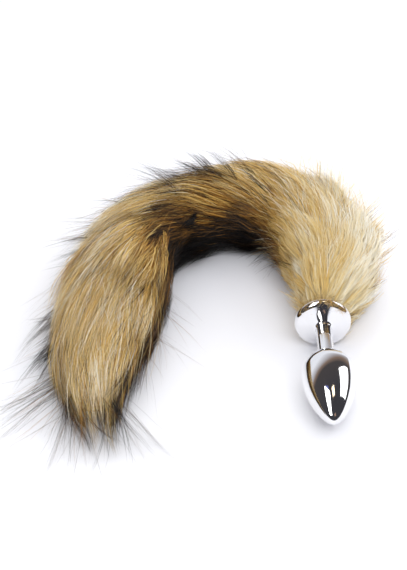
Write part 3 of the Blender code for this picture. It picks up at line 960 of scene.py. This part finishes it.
def keep_in_box(paths):
    """Shortens the hairs that would reach outside the room round the solid's box."""
    low = np.array(Vector(cad_box[0]) - ROOM_ROUND_BOX)
    high = np.array(Vector(cad_box[1]) + ROOM_ROUND_BOX)
    root = paths[:, :1]
    reach = paths - root
    up = np.maximum(reach, 1e-9)
    down = np.minimum(reach, -1e-9)
    scale = np.where(reach > 0, (high - root) / up, (low - root) / down)
    scale[..., 2] = np.where(reach[..., 2] > 0, scale[..., 2], 1.0)
    scale = np.clip(scale.min(axis=(1, 2)), 0.05, 1.0)
    return root + reach * scale[:, None, None]


def guard_hairs():
    along, angle = scatter(GUARD_HAIRS, 0.04, 0.90)
    share = along / TAIL_LENGTH
    count = len(along)
    length = np.interp(share, growth_ways, growth_length) * chance.uniform(0.9, 1.35, count)
    length = np.minimum(length, np.maximum(1.06 * TAIL_LENGTH - along, 0.012))
    rise = np.interp(share, growth_ways, growth_rise) * chance.uniform(0.9, 1.7, count)
    lean = chance.normal(0, 0.18, count)
    straight = chance.uniform(0.2, 0.8, count) * np.interp(share, (0.55, 0.8), (1.0, 0.5))
    paths, outward = hair_paths(along, angle, length, rise, lean, straight, 6, 0.0012)
    tone = np.clip(place_tone(along, angle) + chance.uniform(0.12, 0.75, count), 0.45, 1)
    pale = (share < 0.26) | ((share > 0.60) & (np.abs(angle - math.pi / 2) < 1.0))
    tone = np.where(pale & (chance.random(count) < 0.75), chance.uniform(0.05, 0.45, count), tone)
    return keep_in_box(paths), outward, tone


guard_paths, guard_outward, guard_tone = guard_hairs()
add_fur("fur_guard", guard_paths, guard_outward,
        GUARD_WIDTH * chance.uniform(0.7, 1.3, GUARD_HAIRS), guard_tone)

# %% [markdown]
# The outline of the real tail bristles with tufts of such hairs: pale ones on the crest,
# black ones over the arch and down the outer side, and thin sprays at the end. Each
# family of tufts has a row in the table, and its hairs swing off the tail's direction,
# to the outer side where the swing is positive. The ruff points back over the flange.

# %% Fringe of tufts
# tufts, hairs in each, first and last share, first and last angle, swing and its spread
# in degrees, length and lift in millimetres, tone, fall of the tip to the table, and
# width in hundredths of a millimetre
FRINGE_ROWS = [
    ("ruff", 70, 5, 0.006, 0.018, 40, 140, 172, 14, 9, 3, 0.34, 0.05, 14),
    ("ruff_left", 16, 8, 0.020, 0.060, 135, 178, -30, 12, 12, 3, 0.26, 0.0, 20),
    ("base_outer", 12, 5, 0.11, 0.18, 12, 45, 26, 9, 16, 4, 0.34, 0.0, 18),
    ("base_inner", 18, 7, 0.10, 0.22, 150, 185, -26, 12, 20, 4, 0.76, 0.2, 17),
    ("bend_hairs", 7, 4, 0.20, 0.28, 165, 195, -70, 25, 17, 2, 0.90, 0.5, 18),
    ("crest", 60, 6, 0.14, 0.31, 20, 90, 30, 14, 27, 9, 0.10, 0.0, 16),
    ("crest_dark", 10, 4, 0.12, 0.30, 20, 80, 38, 12, 18, 7, 0.78, 0.0, 16),
    ("arch_high", 2, 22, 0.355, 0.370, 95, 108, 37, 3, 38, 11, 0.98, 0.0, 24),
    ("arch_tufts", 8, 30, 0.37, 0.46, 90, 135, 36, 7, 32, 9, 0.98, 0.0, 28),
    ("arch_spot", 3, 30, 0.45, 0.48, 135, 150, 10, 8, 18, 6, 0.98, 0.0, 34),
    ("arch_strands", 12, 16, 0.31, 0.49, 85, 134, 24, 8, 30, 9, 0.94, 0.0, 26),
    ("arch_top", 14, 6, 0.34, 0.50, 35, 100, 28, 12, 34, 7, 0.84, 0.0, 18),
    ("outer_arch", 9, 9, 0.49, 0.60, 20, 60, 30, 9, 36, 4, 0.86, 0.0, 19),
    ("limb_high", 9, 9, 0.55, 0.66, 2, 35, 21, 6, 36, 2, 0.90, 0.1, 18),
    ("limb_wisps", 11, 15, 0.63, 0.79, -10, 14, 16, 5, 38, 2, 0.95, 0.3, 20),
    ("limb_edge", 14, 9, 0.60, 0.84, -20, 10, 5, 5, 26, 1, 0.76, 0.2, 18),
    ("limb_singles", 24, 2, 0.62, 0.84, -12, 16, 23, 9, 42, 1, 0.76, 0.4, 13),
    ("dark_strand", 4, 22, 0.77, 0.81, -14, -2, 5, 3, 44, 1, 0.97, 0.3, 24),
    ("spray", 7, 6, 0.86, 0.90, -24, 4, 42, 6, 50, 1, 0.86, 0.9, 15),
    ("spray_singles", 18, 2, 0.85, 0.93, -26, 20, 42, 12, 50, 1, 0.72, 0.9, 12),
    ("end_outer", 5, 14, 0.91, 0.935, 0, 40, 11, 4, 46, 1, 0.90, 0.9, 17),
    ("end_middle", 8, 8, 0.92, 0.940, 30, 150, -8, 11, 52, 1, 0.84, 0.9, 15),
    ("end_inner", 5, 14, 0.92, 0.940, 110, 155, -17, 4, 52, 1, 0.92, 0.9, 17),
    ("end_singles", 20, 2, 0.89, 0.935, 0, 180, 2, 22, 56, 1, 0.74, 0.9, 12),
    ("inner_lock", 6, 26, 0.79, 0.86, 160, 180, 9, 3, 46, 1, 0.92, 0.4, 24),
    ("inner_fringe", 18, 5, 0.70, 0.86, 168, 200, -4, 9, 36, 1, 0.62, 0.4, 14),
    ("inner_singles", 14, 2, 0.64, 0.80, 165, 195, -42, 13, 32, 1, 0.74, 0.4, 12),
    ("collar_outer", 60, 9, 0.008, 0.100, -46, 20, 4, 6, 15, 0, 0.20, 0.0, 30),
    ("collar_inner", 60, 9, 0.008, 0.100, 160, 226, -4, 6, 15, 0, 0.24, 0.0, 30),
]
FRINGE_POINTS = 6
GATHER = 0.62
STRAY_SHARE = 0.22


def tuft_fringe(tufts, hairs, first, last, low, high, swing, spread, length, lift, tone, fall, width):
    """Hairs in tufts that close towards a common tip, with a few strays in each."""
    def vary(values, variation):
        return np.repeat(values, hairs) + chance.normal(0, variation, tufts * hairs)

    count = tufts * hairs
    way = chance.uniform(first, last, tufts) * TAIL_LENGTH
    turn = np.radians(chance.uniform(low, high, tufts))
    aim = np.radians(chance.normal(swing, spread, tufts))
    size = chance.uniform(0.7, 1.25, tufts) * length / 1000
    bow = chance.normal(0, 0.20, tufts)
    stray = np.where(chance.random(count) < STRAY_SHARE, 9.0, 1.2)
    along = np.clip(vary(way, 0.0016), 0.003, 0.99 * TAIL_LENGTH)
    angle = vary(turn, 0.07)
    length = vary(size, 0.0) * chance.uniform(0.55, 1.08, count)
    swing = np.repeat(aim, hairs) + np.radians(chance.normal(0, 1, count) * stray)
    lift = vary(chance.uniform(0.4, 1.3, tufts) * lift / 1000, 0.0006)
    share = np.linspace(0, 1, FRINGE_POINTS)[None, :, None]

    def flight(along, angle, length, swing, bow, lift):
        root, outward = on_tail(along, angle, -root_depth(along))
        _, forward, side, _, _ = tail_axes(along)
        direction = forward * np.cos(swing)[:, None] + side * np.sin(swing)[:, None]
        across = np.cross(direction, outward)
        path = (root[:, None, :] + length[:, None, None] * (direction[:, None, :] * share
                + across[:, None, :] * bow[:, None, None] * share ** 2))
        rise = root_depth(along) * 1.4 + lift
        path += outward[:, None, :] * (rise[:, None, None] * (1 - (1 - share) ** 2))
        path[..., 2:] -= root[:, 2][:, None, None] * fall * share ** 1.6
        return path, outward

    own, outward = flight(along, angle, length, swing, vary(bow, 0.03), lift)
    middle, _ = flight(np.repeat(way, hairs), np.repeat(turn, hairs), length, np.repeat(aim, hairs),
                       np.repeat(bow, hairs), lift)
    hold = np.where(stray > 2, 0.0, GATHER)[:, None, None] * share ** 0.8
    tones = np.clip(vary(chance.normal(tone, 0.06, tufts), 0.08), 0.02, 1)
    widths = width * 1e-5 * chance.uniform(0.7, 1.25, count)
    return keep_in_box(own * (1 - hold) + middle * hold), outward, widths, tones


fringe = [tuft_fringe(*row[1:]) for row in FRINGE_ROWS]
add_fur("fur_fringe", *(np.concatenate(parts) for parts in zip(*fringe)))
print("added triangles:", sum(added_triangles.values()))

# %% [markdown]
# The table is a wide white sheet. The photograph's ground is burnt out to white, except
# for a soft grey-blue shade inside the bend of the tail, so the sheet is very pale with
# hardly any texture.

# %% Table
def table_material():
    material, shader = new_material("white_table")
    place = add_node(material, "ShaderNodeTexCoord").outputs["Object"]
    cloud = add_node(material, "ShaderNodeTexNoise", {"Vector": place, "Scale": 3.0, "Detail": 2.0})
    tint = colour_ramp(material, cloud.outputs[0], [(0.3, (243, 244, 250)), (0.7, (247, 247, 250))])
    join(material, tint, shader.inputs["Base Color"])
    shader.inputs["Roughness"].default_value = 0.6
    return material


def add_table():
    shape = bmesh.new()
    bmesh.ops.create_grid(shape, x_segments=2, y_segments=2, size=6.0)
    mesh = bpy.data.meshes.new("table")
    shape.to_mesh(mesh)
    shape.free()
    mesh.materials.append(table_material())
    table = bpy.data.objects.new("table", mesh)
    bpy.context.scene.collection.objects.link(table)
    return table


add_table()

# %% [markdown]
# The light is that of a white product studio. The room seen by the camera and by matt
# surfaces is white, but the mirror of the plug has to see a dark room with bright soft
# boxes in it, or it would have no shape at all. So the world gives mirror rays another
# picture than the rest.

# %% Room and lights
MIRROR_SWEEP = (-0.19, 0.98, -0.09)
MATT_SWEEP = (-0.15, 0.93, 0.33)


def studio_world():
    """White to the camera, brighter from behind to matt surfaces, a dark room to mirrors."""
    world = bpy.data.worlds.new("studio")
    world.use_nodes = True
    nodes = world.node_tree.nodes
    links = world.node_tree.links
    mirror_room = world_ramp(nodes, links, world_way(nodes, links, MIRROR_SWEEP), MIRROR_ROOM)
    half = nodes.new("ShaderNodeMapRange")
    half.inputs["From Min"].default_value = -1.0
    links.new(world_way(nodes, links, MATT_SWEEP), half.inputs["Value"])
    matt_room = world_ramp(nodes, links, half.outputs[0], MATT_ROOM)
    rays = nodes.new("ShaderNodeLightPath")
    for_matt = world_mix(nodes, links, rays.outputs["Is Glossy Ray"], matt_room, mirror_room)
    white = nodes.new("ShaderNodeRGB")
    white.outputs[0].default_value = (1, 1, 1, 1)
    for_all = world_mix(nodes, links, rays.outputs["Is Camera Ray"], for_matt, white.outputs[0])
    links.new(for_all, nodes["Background"].inputs["Color"])
    bpy.context.scene.world = world


def world_way(nodes, links, direction):
    """How much a ray goes in a direction, from -1 to 1."""
    place = nodes.new("ShaderNodeTexCoord")
    towards = nodes.new("ShaderNodeVectorMath")
    towards.operation = "DOT_PRODUCT"
    towards.inputs[1].default_value = direction
    links.new(place.outputs["Generated"], towards.inputs[0])
    return towards.outputs["Value"]


def world_ramp(nodes, links, factor, stops):
    ramp = nodes.new("ShaderNodeValToRGB")
    links.new(factor, ramp.inputs["Fac"])
    elements = ramp.color_ramp.elements
    for index, (place, colour) in enumerate(stops):
        element = elements[index] if index < 2 else elements.new(place)
        element.position = place
        element.color = (*colour, 1.0)
    return ramp.outputs["Color"]


def world_mix(nodes, links, factor, first, second):
    mix = nodes.new("ShaderNodeMix")
    mix.data_type = "RGBA"
    links.new(factor, mix.inputs[0])
    links.new(first, mix.inputs[6])
    links.new(second, mix.inputs[7])
    return mix.outputs[2]


# Along the sweep's direction: place, colour
MIRROR_ROOM = [(0.0, (0.05, 0.048, 0.055)), (0.74, (0.90, 0.92, 0.97)), (0.52, (0.07, 0.062, 0.062)),
               (0.585, (0.24, 0.17, 0.13)), (0.645, (0.50, 0.49, 0.51))]
MATT_ROOM = [(0.0, (0.46, 0.465, 0.49)), (1.0, (1.90, 1.90, 1.88)), (0.5, (0.565, 0.57, 0.60)),
             (0.75, (0.98, 0.98, 1.00))]


def soft_box(name, direction, distance, size, radiance, colour=(1, 1, 1), roll=0.0,
             lights_matt=False, shows_in_mirror=True):
    """A glowing panel that faces the plug, with its brightness given as the eye sees it."""
    aim = Vector((0.03, -0.02, 0.015))
    away = Vector(direction).normalized()
    data = bpy.data.lights.new(name, "AREA")
    data.shape = "RECTANGLE"
    data.size = size[0]
    data.size_y = size[1]
    data.energy = radiance * math.pi * size[0] * size[1]
    data.color = colour
    light = bpy.data.objects.new(name, data)
    turn = (-away).to_track_quat("-Z", "Y").to_matrix() @ Matrix.Rotation(roll, 3, "Z")
    light.matrix_world = Matrix.Translation(aim + away * distance) @ turn.to_4x4()
    light.visible_camera = False
    light.visible_diffuse = lights_matt
    light.visible_glossy = shows_in_mirror
    bpy.context.scene.collection.objects.link(light)
    return light


studio_world()
soft_box("panel_right", (0.79, 0.34, 0.49), 0.80, (0.44, 0.50), 2.3, lights_matt=True)
soft_box("strip_left", (-0.50, -0.30, 0.88), 0.90, (0.36, 0.80), 6.0, (1.0, 0.99, 0.97), 0.7)
soft_box("lamp_warm", (0.13, 0.04, 0.97), 1.0, (0.17, 0.20), 3.0, (1.0, 0.80, 0.52))
soft_box("lamp_blue", (-0.36, 0.05, 0.92), 1.0, (0.20, 0.24), 0.4, (0.22, 0.30, 1.0))
soft_box("lamp_amber", (0.30, -0.62, 0.72), 1.0, (0.30, 0.30), 0.35, (1.0, 0.62, 0.42))
soft_box("fill_front", (0.15, -0.60, 0.79), 1.30, (1.00, 0.80), 3.0, lights_matt=True,
         shows_in_mirror=False)
bpy.context.scene.view_settings.view_transform = "Standard"
bpy.context.scene.view_settings.look = "None"
